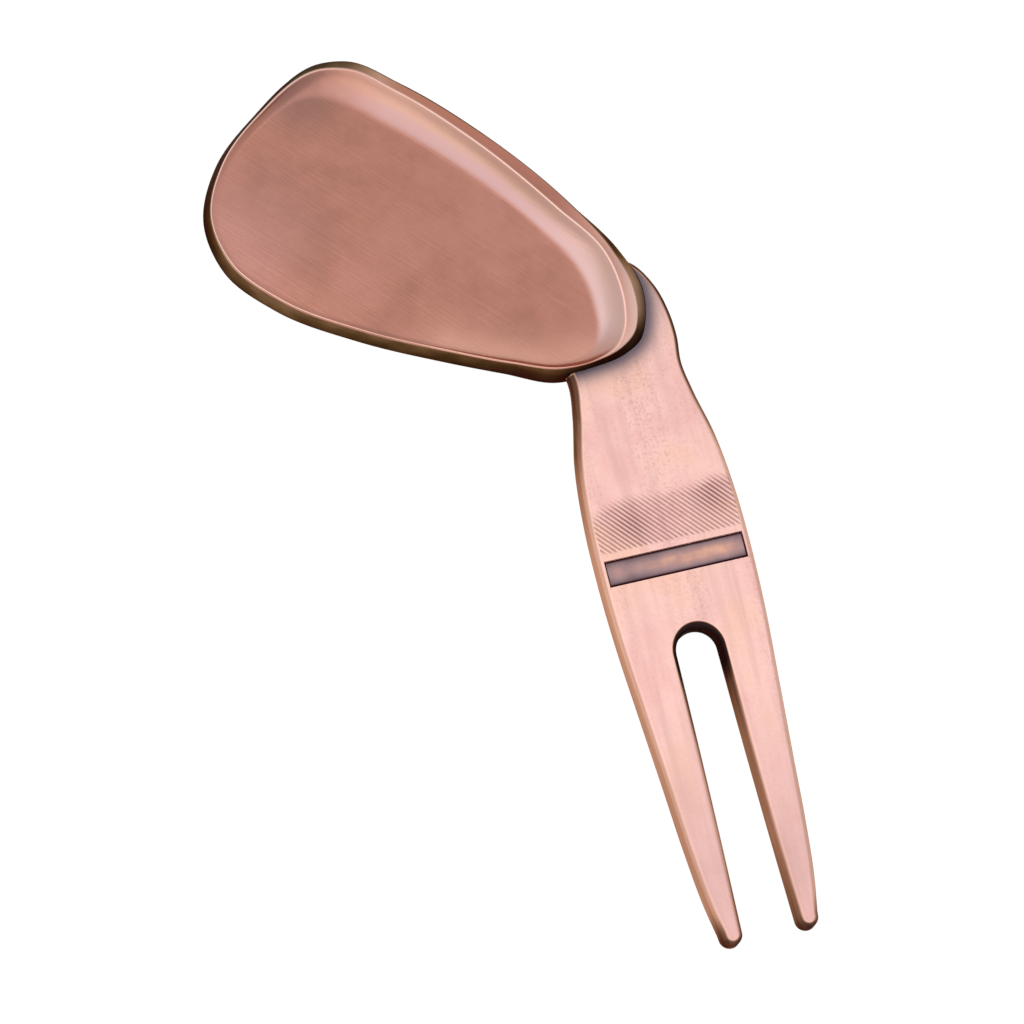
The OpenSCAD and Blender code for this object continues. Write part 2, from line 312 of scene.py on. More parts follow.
groove_points, groove_faces = [], []
for number in range(int(20 / GROOVE_PITCH), int(40 / GROOVE_PITCH)):
    steps = [number * GROOVE_PITCH * groove_side + s * groove_way for s in np.arange(-45, 0, GROOVE_STEP)]
    inside = [p for p in steps if in_hatch(p)]
    if len(inside) < FEWEST_STEPS:
        continue
    start, end = inside[0], inside[-1]
    length = np.linalg.norm(end - start)
    first = len(groove_points)
    run_in = min(RUN_IN, length * 0.5)
    stations = ((0, 0), (run_in * 0.5, 0.6), (run_in, 1), (length - RUN_OUT, 1), (length, 0))
    for s, deep in stations:
        middle = start + s * groove_way
        half = groove_side * max(deep, 0.02) * GROOVE_W / 2
        groove_points += [[*middle, BLADE_T + PROUD - deep * (GROOVE_D + PROUD)],
                          [*(middle + half), BLADE_T + PROUD],
                          [*middle, BLADE_T + 10 * PROUD],
                          [*(middle - half), BLADE_T + PROUD]]
    ends = len(stations) - 1
    groove_faces += [(first + 4 * k + i, first + 4 * k + 4 + i,
                      first + 4 * k + 4 + (i + 1) % 4, first + 4 * k + (i + 1) % 4)
                     for k in range(ends) for i in range(4)]
    groove_faces += [tuple(first + i for i in (0, 1, 2, 3)),
                     tuple(first + 4 * ends + i for i in (3, 2, 1, 0))]
cut(fork, groove_points, groove_faces)

# patina on the walls, with painted shade and painted reflection, darkest round the slot's end,
# and patina in the grooves; each list goes with the heights above it
OUTER_WALL = ([0, 1.5, 4, 30, 42, 48, 52, 60],
              [0.82, 0.7, 0.45, 0.36, 0.36, 0.5, 0.66, 0.82])
SLOT_WALL = ([0, 1.5, 10, 20, 26, 29],
             [0.85, 0.66, 0.54, 0.6, 0.78, 1.12])
DARK_PATCHES = ((-4.2, 44.0), (4.9, 45.2), (-3.2, 43.0), (5.6, 44.4))
PATCH_AREA = 3                                # mm2 that a dark patch spreads over
BACK_PATINA = 0.1                             # left on the flat back
GROOVE_PATINA, PATCH_PATINA = 0.6, 0.2        # left in every groove, and added in a dark patch
wall_tone = np.interp(outline[:, 1], *OUTER_WALL)
in_slot = np.arange(outline_n) % (outline_n - last) <= last
wall_tone[in_slot] = np.interp(outline[in_slot, 1], *SLOT_WALL)
edge_tree = nearby(outline)
patina_and_shade_note, hatch_note = [], []
for x, y, z in places(fork):
    _, nearest, gap = edge_tree.find((x, y, 0))
    tone = wall_tone[nearest]
    over_edge = min(max((gap - LEAN) / (EDGE_W + deeper[nearest]), 0), 1) if z > BLADE_T / 2 else 0
    left_on = tone * (1 - over_edge**(1.4 + 14 * max(0, tone - 0.55)))
    patina_and_shade_note.append(left_on if z > 0.02 else BACK_PATINA)
    below_top = np.interp(x, HATCH_TOP[:, 0], HATCH_TOP[:, 1]) - y
    patches = sum(math.exp(-math.hypot(x - cx, y - cy)**2 / PATCH_AREA) for cx, cy in DARK_PATCHES)
    inside = min(1, max(0, below_top)) * (abs(x) < HATCH_X + 0.1) * (HATCH_Y - 0.1 < y)
    hatch_note.append(inside * (GROOVE_PATINA + PATCH_PATINA * patches) if z > BLADE_T - EDGE_H else 0)
keep_note(fork, "patina_and_shade", patina_and_shade_note)
keep_note(fork, "hatch", hatch_note)

# antiqued copper plate: a satin rose metal, clouded, finely pitted, streaked along the fork
BLOTCH = 6                                    # mm across a cloud
STREAK = (0.9, 14)                            # mm across and along a streak
PIT = 0.3                                     # mm; a little coarser than the real pits, to show
material, tree, shader, spot = finish("antiqued_copper_plate", 1.0)
cloud = add(tree, "TexNoise", {"Scale": 1 / BLOTCH, "Detail": 3.0}, Vector=spot).outputs[0]
flat = add(tree, "ValToRGB", {"stops": [(0.36, "#F7C3BB"), (0.5, "#FDCEC4"), (0.64, "#FCCBBA")]},
           Fac=cloud).outputs[0]
grain = add(tree, "Mapping", {"Scale": (1 / STREAK[0], 1 / STREAK[1], 1)}, Vector=spot).outputs[0]
streak = add(tree, "TexNoise", {"Scale": 1.0, "Detail": 3.0}, Vector=grain).outputs[0]
haze = add(tree, "MapRange", {"From Min": 0.46, "From Max": 0.75, "To Max": 0.45}, Value=streak).outputs[0]
flat = add(tree, "Mix", {"data_type": "RGBA", 7: linear("#D8AAA4")}, _0=haze, _6=flat).outputs[2]
pits = add(tree, "TexNoise", {"Scale": 1 / PIT, "Detail": 2.0}, Vector=spot).outputs[0]
pits = add(tree, "MapRange", {"From Min": 0.5, "From Max": 0.75}, Value=pits).outputs[0]
patch = add(tree, "TexNoise", {"Scale": 1.3 / BLOTCH, "Detail": 2.0}, Vector=grain).outputs[0]
patch = add(tree, "MapRange", {"From Min": 0.45, "From Max": 0.65, "To Min": 0.15, "To Max": 0.6},
            Value=patch).outputs[0]
pitted = add(tree, "Math", {"operation": "MULTIPLY"}, _0=pits, _1=patch).outputs[0]
flat = add(tree, "Mix", {"data_type": "RGBA", 7: linear("#D2A29C")}, _0=pitted, _6=flat).outputs[2]

# the tines are handled most, and have dulled to mauve
dulled = add(tree, "MapRange", {"From Min": 26.0, "From Max": 8.0, "To Max": 1.2},
             Value=add(tree, "SeparateXYZ", _0=spot).outputs["Y"]).outputs[0]
dulled = add(tree, "Math", {"operation": "MULTIPLY"}, _0=dulled, _1=cloud).outputs[0]
flat = add(tree, "Mix", {"data_type": "RGBA", 7: linear("#D5A9A6")}, _0=dulled, _6=flat).outputs[2]

# the hatched grooves hold dark patina, along the line of each groove
across = add(tree, "VectorMath", {"operation": "DOT_PRODUCT", 1: (*(groove_side / GROOVE_PITCH), 0)},
             _0=spot).outputs[1]
off_line = add(tree, "Math", {"operation": "PINGPONG", 1: 0.5}, _0=across).outputs[0]
line = add(tree, "MapRange", {"From Min": 0.33, "From Max": 0.15}, Value=off_line).outputs[0]
hatch = add(tree, "Attribute", {"attribute_name": "hatch"}).outputs["Fac"]
line = add(tree, "Math", {"operation": "MULTIPLY", "use_clamp": True}, _0=line, _1=hatch).outputs[0]
stained = add(tree, "MapRange", {"From Min": 0.6, "From Max": 1.0, "To Max": 0.4}, Value=hatch).outputs[0]
flat = add(tree, "Mix", {"data_type": "RGBA", 7: linear("#BE9090")}, _0=stained, _6=flat).outputs[2]
flat = add(tree, "Mix", {"data_type": "RGBA", 7: linear("#8A5F5C")}, _0=line, _6=flat).outputs[2]

# grey violet darkening in the corner against the head
corner = add(tree, "Attribute", {"attribute_name": "corner"}).outputs["Fac"]
flat = add(tree, "Mix", {"data_type": "RGBA", 7: linear("#6F646D")}, _0=corner, _6=flat).outputs[2]

# patina and painted shade where its note says, broken up by the streaks: brown, then nearly
# black where the note is highest
note = add(tree, "Attribute", {"attribute_name": "patina_and_shade"}).outputs["Fac"]
uneven = add(tree, "Math", {"operation": "MULTIPLY_ADD", 1: 0.5, 2: 0.75}, _0=streak).outputs[0]
note = add(tree, "Math", {"operation": "MULTIPLY"}, _0=note, _1=uneven).outputs[0]
brown = add(tree, "ValToRGB", {"stops": [(0.3, "#E8B59A"), (0.5, "#C4927C"), (0.7, "#8A6553"),
                                         (0.85, "#583F34"), (1.0, "#352524")]}, Fac=note).outputs[0]
cover = add(tree, "MapRange", {"From Min": 0.02, "From Max": 0.35}, Value=note).outputs[0]
colour = add(tree, "Mix", {"data_type": "RGBA"}, _0=cover, _6=flat, _7=brown).outputs[2]
tree.links.new(colour, shader.inputs["Base Color"])
dull = add(tree, "Math", {"operation": "MULTIPLY_ADD", 1: 0.15, 2: 0.36}, _0=cover).outputs[0]
tree.links.new(dull, shader.inputs["Roughness"])

# the pits and streaks can be felt, just
bump = add(tree, "Bump", {"Strength": 0.15, "Distance": 0.02 * MM}, Height=pits)
bump = add(tree, "Bump", {"Strength": 0.25, "Distance": 0.06 * MM}, Height=streak, Normal=bump.outputs[0])
tree.links.new(bump.outputs[0], shader.inputs["Normal"])
fork.data.materials.append(material)
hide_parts("fork_blade")
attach(fork, "root")

# ---- Club head ---------------------------------------------------------------------
# A small golf iron's head, cast in zinc alloy with a dished face and a crisp lip round it.
# It has the fork's copper plate, but the dish is browner.
# It is seated over the tang, and its wall rises steeply from the neck.

# its outlines match point by point, anticlockwise from the sole beside the neck: the wall,
# the wall's front edge with its drop below the rim, the lip, and the floor of the dish
RIM = [[-3, 59.7], [0.2, 60.25], [2.4, 61.5], [3.6, 63.9], [4.0, 67.0], [2.6, 71.3], [-1.2, 77.2],
       [-8.5, 86.6], [-15, 92.9], [-19.7, 96.25], [-22.7, 96.6], [-30.6, 92.7], [-35.3, 88.6],
       [-37.85, 83.3], [-37, 77.9], [-33, 73.1], [-25.6, 68.2], [-17.7, 64.3], [-11.9, 61.75], [-6.8, 59.65]]
FRONT_EDGE = [[-3.2, 60.25, 0.1], [-0.2, 61.1, 0.15], [1.4, 62.4, 0.3], [2.15, 64.3, 0.35],
              [2.3, 67.1, 0.35], [1.5, 70.7, 0.6], [-1.55, 76.9, 1.2], [-8.8, 86.3, 1.3],
              [-15.2, 92.6, 1.3], [-19.8, 95.95, 1.0], [-22.7, 96.3, 0.5], [-30.5, 92.45, 0.15],
              [-35.1, 88.4, 0.1], [-37.55, 83.25, 0.1], [-36.7, 78.0, 0.1], [-32.8, 73.3, 0.1],
              [-25.5, 68.4, 0.1], [-17.6, 64.5, 0.1], [-11.8, 61.95, 0.1], [-6.6, 60.2, 0.1]]
LIP = [[-3.3, 60.35], [-0.8, 61.3], [0.4, 62.9], [1.0, 65.2], [1.05, 67.8], [0.5, 70.8], [-3.1, 76.4],
       [-9.8, 85.3], [-16.1, 91.8], [-20.1, 94.9], [-22.6, 95.5], [-30.35, 92.2], [-34.95, 88.2],
       [-37.4, 83.2], [-36.55, 78.1], [-32.7, 73.45], [-25.4, 68.55], [-17.5, 64.65], [-11.7, 62.1],
       [-6.6, 60.35]]
FLOOR = [[-4.2, 61.3], [-2.9, 62.4], [-2.3, 64.0], [-2.2, 66.2], [-2.4, 68.6], [-3.2, 71.0], [-5.6, 75.0],
         [-12.0, 82.9], [-18.4, 88.9], [-21.8, 91.6], [-24.4, 92.9], [-30.3, 91.0], [-34.2, 87.5],
         [-36.7, 83.0], [-36, 78.4], [-32.3, 73.9], [-25.2, 69.0], [-17.3, 65.1], [-11.6, 62.7],
         [-6.9, 61.1]]
HEEL_T, TOE_T = 4.9, 3.7                      # the head thins towards the toe
HEEL_REF, TOE_WAY, HEAD_LEN = np.array([1, 63]), np.array([-0.835, 0.549]), 41   # along which it thins
DISH = 1.3                                    # the floor's fall over DISH_RUN, away from the sole
DISH_REF, DISH_WAY, DISH_RUN = np.array([-20, 61.5]), np.array([0.8, 0.6]), 20
GIRTH_Z, NECK_LINE_IN = 0.5, 0.35             # where it is widest, and its lean in by the neck's face
TANG_T = 1.8                                  # the tang under the head is thinner than the blade
AROUND = 16                                   # faces between two neighbouring points of the outlines
HEAD_CRISP = 50                               # degrees, as CRISP, for the head's rounder edges
DISH_STEPS = (0.06, 0.15, 0.25, 0.36, 0.48, 0.6, 0.72, 0.84, 0.93, 1)
FLOOR_STEPS = (0.94, 0.86, 0.76, 0.64, 0.5, 0.36, 0.22, 0.1)


def rim_z(p):
    """The height of the rim's sloping plane."""
    return HEEL_T - (HEEL_T - TOE_T) * ((p[:, :2] - HEEL_REF) @ TOE_WAY) / HEAD_LEN


def floor_z(p):
    """The height of the dish's floor, level with the rim at the sole and falling away from it."""
    away = (p[:, :2] - DISH_REF) @ DISH_WAY / DISH_RUN
    return rim_z(p) - DISH * (away + np.sqrt(away**2 + 0.02)) / 2


def bend(a, corner, b, reach, count):
    """Points round a corner, from reach before it to reach after it."""
    def toward(p):
        way = p - corner
        far = np.linalg.norm(way, axis=1, keepdims=True)
        return corner + way * np.minimum(reach / far, 0.45)
    start, end = toward(a), toward(b)
    return [start * (1 - t)**2 + corner * 2 * t * (1 - t) + end * t**2 for t in np.linspace(0, 1, count)]


rim, front_edge = spline(RIM, AROUND), spline(FRONT_EDGE, AROUND)
lip, floor = spline(LIP, AROUND), spline(FLOOR, AROUND)
head_n = len(rim)


def wall_ring(z, out=0.0):
    """The head's wall at a height, leaning in evenly."""
    lean = NECK_LINE_IN * (z - GIRTH_Z) / (BLADE_T - GIRTH_Z)
    return at_height(inward(rim, SKIN + lean - out), z)


front = np.column_stack([front_edge[:, :2], rim_z(front_edge) - front_edge[:, 2]])
lip_ring = np.column_stack([lip, rim_z(lip)])
dish_rings = []
for u in DISH_STEPS:
    ring = lip + u * (floor - lip)
    dish_rings.append(np.column_stack([ring, floor_z(ring) + (rim_z(lip) - floor_z(lip)) * (1 - u)**2]))
middle = floor.mean(axis=0)
floor_rings = []
for share in FLOOR_STEPS:
    ring = middle + (floor - middle) * share
    swell = [WAVE * noise.noise(Vector((p[0], p[1], 9)) / WAVE_LENGTH) for p in ring]
    floor_rings.append(np.column_stack([ring, floor_z(ring) + swell]))

# the rings from the back to the floor of the dish, each with its notes: how far down the dish
# it lies, how much it belongs to the wall's front edge, to a bright edge and to the wall, and
# how much painted shade it takes where the wall's darkening spreads over the bevel, and over the lip
head_rings = []
notes = {name: [] for name in ("dish", "front_edge", "edge", "wall", "front_shade", "lip_shade")}


def lay(rings, **given):
    """Adds rings to the head, with their notes, which are 0 unless given."""
    head_rings.extend(rings)
    for name, values in notes.items():
        values += given.get(name, [0] * len(rings))


BACK_EDGE = ((0, 1.2), (0, 0.42), (0.04, 0.26), (0.12, 0.12), (0.26, 0.03))
WALL_TOP = 2.5                                # the last ring of the wall below the neck's face
lay([at_height(inward(rim, SKIN + far_in), z) for z, far_in in BACK_EDGE],
    edge=[0, 0, 0.4, 0.5, 0.2], wall=[0, 0.5, 0.7, 0.9, 1],
    front_shade=[0, 0.3, 0.6, 1, 1], lip_shade=[0, 0.3, 0.6, 1, 1])
lay([wall_ring(z) for z in (GIRTH_Z, 1.2, 2.0, WALL_TOP)],
    wall=[1.1, 1.05, 0.98, 0.92], front_shade=[1] * 4, lip_shade=[1] * 4)
lay(bend(wall_ring(WALL_TOP), wall_ring(BLADE_T), front, 0.25, 3),
    wall=[0.9, 0.86, 0.82], front_shade=[1] * 3, lip_shade=[1] * 3)
lay(bend(wall_ring(BLADE_T), front, lip_ring, 0.22, 7),
    front_edge=[0, 0, 0.2, 0.6, 1, 1, 0.9], wall=[0.75, 0.7, 0.6, 0.4, 0.15, 0, 0],
    front_shade=[1, 1, 1, 1, 1, 0.85, 0], lip_shade=[1] * 7)
lay(bend(front, lip_ring, dish_rings[1], 0.2, 7),
    dish=[0, 0, 0, 0, 0.02, 0.04, 0.06], edge=[0, 0.2, 0.7, 1, 0.8, 0.4, 0.1],
    lip_shade=[0.9, 0.6, 0.2, 0, 0, 0, 0])
lay(dish_rings[1:], dish=list(DISH_STEPS[1:]))
lay(floor_rings, dish=[1] * len(floor_rings))
head_points = np.vstack(head_rings + [[[*middle, floor_z(middle.reshape(1, 2))[0]]]])
top = (len(head_rings) - 1) * head_n
head_faces = walls(head_rings) + [tuple(range(head_n))[::-1]]
head_faces += [(top + i, top + (i + 1) % head_n, len(head_points) - 1) for i in range(head_n)]
head = make_piece("cast_head", head_points, head_faces, HEAD_CRISP)

# how strong each mark is round the head, at the outlines' twenty points: the wall's patina with
# painted shade and reflection, the bright line on the lip (worn metal and a painted highlight),
# the painted highlight on the heel's front edge, the dish's slope (rubbed, with a painted
# highlight), and the painted shade on the bevel and on the lip
WALL_TONE = [1.25, 1.25, 1.15, 0.7, 0.6, 0.7, 0.85, 0.9, 0.9, 0.9,
             0.95, 0.95, 0.95, 0.9, 0.76, 0.7, 0.74, 0.82, 0.92, 0.97]
LINE_TONE = [0.3, 0.5, 0.6, 0.7, 0.7, 0.9, 1, 1, 0.9, 0.5, 0.5, 0.9, 1, 1, 1, 0.9, 0.6, 0.4, 0.2, 0.2]
EDGE_TONE = [0, 0.3, 0.8, 1, 0.8, 0.3, 0, 0, 0, 0, 0, 0, 0, 0, 0, 0, 0, 0, 0, 0]
FILLET_TONE = [0, 0.6, 1, 1, 1, 1, 1, 1, 0.85, 0.3, 0, 0, 0, 0, 0, 0, 0, 0, 0, 0]
SHADE_TONE = [0, 0, 0, 0, 0.3, 0.75, 0.85, 0.85, 0.9, 0.95, 1, 1, 1, 0.8, 0.3, 0, 0, 0, 0, 0]
LIP_SHADE_TONE = [0, 0, 0, 0, 0, 0, 0, 0, 0.1, 0.75, 0.9, 0.95, 0.95, 0.6, 0, 0, 0, 0, 0, 0]
BACK_TONE = 0.35                              # the flat back is lightly browned all over
SOLE_POINT = 17                               # the outlines' point where the lighter sole band starts
SOLE_REACH, CORNER_REACH = 2.6, 1.3           # mm over which the lighter sole band and the corner's grey violet fade


def round_head(tones):
    """Tones for every point round the head, from those at the outlines' own points."""
    return np.interp(np.arange(head_n) / AROUND, range(len(tones) + 1), tones + tones[:1])


bevel_wide = np.linalg.norm(front_edge[:, :2] - lip, axis=1)
bevel_here = np.clip((bevel_wide - 0.35) / 0.6, 0, 1)
above_dish = np.clip(1 - np.array(notes["dish"]) / 0.06, 0, 1)
bright = (np.outer(notes["front_edge"], round_head(EDGE_TONE))
          + np.outer(notes["edge"], round_head(LINE_TONE)))
covered = np.outer(notes["wall"], round_head(WALL_TONE))
covered = np.maximum(covered, np.outer(notes["front_shade"], round_head(SHADE_TONE)))
covered = np.maximum(covered, np.outer(notes["lip_shade"], round_head(LIP_SHADE_TONE)))
covered[0] = BACK_TONE
keep_note(head, "dish", np.append(np.repeat(notes["dish"], head_n), 1))
keep_note(head, "fillet", np.append(np.tile(round_head(FILLET_TONE), len(head_rings)), 0))
keep_note(head, "bevel", np.append(np.outer(above_dish, bevel_here), 0))
keep_note(head, "edge", np.append(bright, 0))
keep_note(head, "wall", np.append(covered, 0))
keep_note(head, "sole", beside(head, lip[SOLE_POINT * AROUND:], SOLE_REACH, BLADE_T))

# the head sits over the tang: each gives up the other's room, with a hair of clearance
SEAT_GAP = 0.02
RECESS_FROM = 2 * last + 20                   # the recess starts at this point of the fork's outline
tang_hole = inward(outline, SKIN - SEAT_GAP)[RECESS_FROM:outline_n - RECESS_FROM]
hole_n = len(tang_hole)
cut(head, np.vstack([at_height(tang_hole, -1), at_height(tang_hole, TANG_T + SEAT_GAP)]),
    walls([tang_hole, tang_hole]) + [tuple(range(hole_n))[::-1], tuple(range(hole_n, 2 * hole_n))],
    HEAD_CRISP)
seat_rings = [wall_ring(TANG_T, SEAT_GAP), wall_ring(BLADE_T + 1, SEAT_GAP)]
cut(fork, np.vstack(seat_rings),
    walls(seat_rings) + [tuple(range(head_n))[::-1], tuple(range(head_n, 2 * head_n))])

# darker grey violet in the corner between the neck and the head's wall
keep_note(fork, "corner", beside(fork, wall_ring(BLADE_T), CORNER_REACH, TANG_T))

# browned copper plate: brushed slantwise along the dish, bright on the lip and the fillet,
# which are rubbed and carry a painted highlight
BRUSH = (5, 0.22)                             # mm along and across a stroke
BRUSH_ANGLE = -46                             # degrees from the x axis
material, tree, shader, spot = finish("browned_copper_plate", 1.0)
cloud = add(tree, "TexNoise", {"Scale": 1 / BLOTCH, "Detail": 4.0, "Roughness": 0.6}, Vector=spot).outputs[0]
brown = add(tree, "ValToRGB", {"stops": [(0.34, "#B98070"), (0.5, "#C58877"), (0.66, "#CC8F80")]},
            Fac=cloud).outputs[0]
turned_spot = add(tree, "Mapping", {"Rotation": (0, 0, math.radians(-BRUSH_ANGLE))}, Vector=spot).outputs[0]
stroke = add(tree, "Mapping", {"Scale": (1 / BRUSH[0], 1 / BRUSH[1], 1)}, Vector=turned_spot).outputs[0]
stroke = add(tree, "TexNoise", {"Scale": 1.0, "Detail": 3.0}, Vector=stroke).outputs[0]
scuff = add(tree, "MapRange", {"From Min": 0.45, "From Max": 0.75, "To Max": 0.22}, Value=stroke).outputs[0]
brown = add(tree, "Mix", {"data_type": "RGBA", 7: linear("#D09A8A")}, _0=scuff, _6=brown).outputs[2]

# the brown turns mauve towards the toe, and painted shade darkens it at the peak: centre,
# reach in mm, strength
TOE_MAUVE = ((-33.5, 81, 3), 10.0, 0.25, "#C79799")
PEAK_SHADE = ((-25.5, 93.5, 3), 6.0, 0.6, "#9A736B")
for centre, reach, most, hue in (TOE_MAUVE, PEAK_SHADE):
    away = add(tree, "VectorMath", {"operation": "DISTANCE", 1: centre}, _0=spot).outputs[1]
    tint = add(tree, "MapRange", {"interpolation_type": "SMOOTHSTEP", "From Min": reach,
                                  "From Max": 1.0, "To Max": most}, Value=away).outputs[0]
    brown = add(tree, "Mix", {"data_type": "RGBA", 7: linear(hue)}, _0=tint, _6=brown).outputs[2]

# the dish's edge along the sole is lighter
sole = add(tree, "Attribute", {"attribute_name": "sole"}).outputs["Fac"]
sole = add(tree, "Math", {"operation": "MULTIPLY", 1: 0.75}, _0=sole).outputs[0]
brown = add(tree, "Mix", {"data_type": "RGBA", 7: linear("#EBB09C")}, _0=sole, _6=brown).outputs[2]

# down its slope the dish goes from warm copper to a pale mauve band, palest at the heel:
# a painted highlight over rubbed metal
dish = add(tree, "Attribute", {"attribute_name": "dish"}).outputs["Fac"]
rub_and_highlight = add(tree, "ValToRGB", {"stops": [(0.05, "#D8A693"), (0.34, "#DAAC99"), (0.54, "#CDA4A0"),
                                          (0.85, "#C8A09D"), (1.0, "#BF8878")]}, Fac=dish).outputs[0]
heel_highlight = add(tree, "MapRange", {"From Min": 80.0, "From Max": 64.0, "To Max": 0.6},
           Value=add(tree, "SeparateXYZ", _0=spot).outputs["Y"]).outputs[0]
rub_and_highlight = add(tree, "Mix", {"data_type": "RGBA", 7: linear("#F0CCC6")}, _0=heel_highlight, _6=rub_and_highlight).outputs[2]
fillet = add(tree, "Attribute", {"attribute_name": "fillet"}).outputs["Fac"]
slope = add(tree, "MapRange", {"interpolation_type": "SMOOTHSTEP", "From Min": 1.0, "From Max": 0.72},
            Value=dish).outputs[0]
fillet = add(tree, "Math", {"operation": "MULTIPLY"}, _0=fillet, _1=slope).outputs[0]
colour = add(tree, "Mix", {"data_type": "RGBA"}, _0=fillet, _6=brown, _7=rub_and_highlight).outputs[2]

# the bevel outside the lip is rose at the heel and browner along the topline
bevel = add(tree, "Attribute", {"attribute_name": "bevel"}).outputs["Fac"]
bevel_tint = add(tree, "MapRange", {"From Min": 66.0, "From Max": 78.0},
                 Value=add(tree, "SeparateXYZ", _0=spot).outputs["Y"]).outputs[0]
bevel_tint = add(tree, "Mix", {"data_type": "RGBA", 6: linear("#EFB6A7"), 7: linear("#BD8272")},
                 _0=bevel_tint).outputs[2]
colour = add(tree, "Mix", {"data_type": "RGBA"}, _0=bevel, _6=colour, _7=bevel_tint).outputs[2]

# olive brown patina on the wall, uneven, with painted shade and painted reflection in it;
# bright metal where edges have worn through, with a painted highlight on top
note = add(tree, "Attribute", {"attribute_name": "wall"}).outputs["Fac"]
fine = add(tree, "TexNoise", {"Scale": 2 / BLOTCH, "Detail": 4.0}, Vector=spot).outputs[0]
uneven = add(tree, "Math", {"operation": "MULTIPLY_ADD", 1: 0.5, 2: 0.75}, _0=fine).outputs[0]
note = add(tree, "Math", {"operation": "MULTIPLY"}, _0=note, _1=uneven).outputs[0]
olive = add(tree, "ValToRGB", {"stops": [(0.3, "#CDA48E"), (0.5, "#A58670"), (0.7, "#76604A"),
                                         (0.85, "#53442F"), (1.0, "#48302A")]}, Fac=note).outputs[0]
cover = add(tree, "MapRange", {"From Min": 0.02, "From Max": 0.3}, Value=note).outputs[0]
colour = add(tree, "Mix", {"data_type": "RGBA"}, _0=cover, _6=colour, _7=olive).outputs[2]
edge = add(tree, "Attribute", {"attribute_name": "edge"}).outputs["Fac"]
colour = add(tree, "Mix", {"data_type": "RGBA", 7: linear("#FFD8CC")}, _0=edge, _6=colour).outputs[2]
tree.links.new(colour, shader.inputs["Base Color"])
dull = add(tree, "Math", {"operation": "MULTIPLY_ADD", 1: 0.12, 2: 0.34}, _0=cover).outputs[0]
tree.links.new(dull, shader.inputs["Roughness"])
bump = add(tree, "Bump", {"Strength": 0.3, "Distance": 0.04 * MM}, Height=stroke)
bump = add(tree, "Bump", {"Strength": 0.3, "Distance": 0.1 * MM}, Height=cloud, Normal=bump.outputs[0])
tree.links.new(bump.outputs[0], shader.inputs["Normal"])
head.data.materials.append(material)
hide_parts("club_head")
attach(head, "root")

# ---- Tang pins ---------------------------------------------------------------------
# Two countersunk, copper-plated pins pressed through the tang into the head from behind,
# then dressed flush, so that each shows as a bright disc with a dark ring round it.
PIN_SIDES = 64
PIN_ROUND = 0.05                              # the disc's rounded edge
PIN_SHANK = 0.5625                            # the shank's share of the disc's radius
PIN_CONE = 0.7                                # how deep the countersink goes


def turned(profile, centre):
    """A solid of revolution about an upright axis, from (radius, height) pairs that end on the axis."""
    angles = np.linspace(0, 2 * math.pi, PIN_SIDES, endpoint=False)
    circle = np.stack([np.cos(angles), np.sin(angles)], axis=1)
    rings = [at_height(np.array(centre) + circle * r, z) for r, z in profile]
    tip = (len(rings) - 1) * PIN_SIDES
    ends = [tuple(range(PIN_SIDES))[::-1], tuple(range(tip, tip + PIN_SIDES))]
    return np.vstack(rings), walls(rings) + ends


pins = []
for pin_name in ("tang_pin_lower", "tang_pin_upper"):
    low, high = (np.array(corner) / MM - [AXIS_X / MM, TIPS_Y / MM, 0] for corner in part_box(pin_name))
    centre = (low[:2] + high[:2]) / 2
    head_r, length = (high[0] - low[0]) / 2, high[2]
    shank_r = head_r * PIN_SHANK
    hole = [(head_r + 0.02, -1), (head_r + 0.02, 0.05),
            (shank_r + 0.03, PIN_CONE), (shank_r + 0.03, length + 0.1)]
    cut(fork, *turned(hole, centre), CRISP)
    cut(head, *turned(hole, centre), HEAD_CRISP)
    profile = [(head_r * 0.55, 0.0), (head_r - 2 * PIN_ROUND, 0.008), (head_r - PIN_ROUND, 0.02),
               (head_r - 0.02, PIN_ROUND), (head_r - 0.03, 0.09), (shank_r, PIN_CONE),
               (shank_r, length - 3 * PIN_ROUND), (shank_r - 3 * PIN_ROUND, length)]
    pins.append(make_piece(pin_name + "_turned", *turned(profile, centre)))
    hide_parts(pin_name)

# filed copper plate: the dressed discs are mottled and slightly uneven where the file passed
PIN_MOTTLE = 0.4                              # mm across a patch
material, tree, shader, spot = finish("filed_copper_plate", 1.0)
cloud = add(tree, "TexNoise", {"Scale": 1 / PIN_MOTTLE, "Detail": 4.0}, Vector=spot).outputs[0]
colour = add(tree, "ValToRGB", {"stops": [(0.35, "#DDA997"), (0.6, "#EDBBA8")]}, Fac=cloud).outputs[0]
tree.links.new(colour, shader.inputs["Base Color"])
shader.inputs["Roughness"].default_value = 0.38
bump = add(tree, "Bump", {"Strength": 0.3, "Distance": 0.03 * MM}, Height=cloud)
tree.links.new(bump.outputs[0], shader.inputs["Normal"])
for pin in pins:
    pin.data.materials.append(material)
    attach(pin, "root")

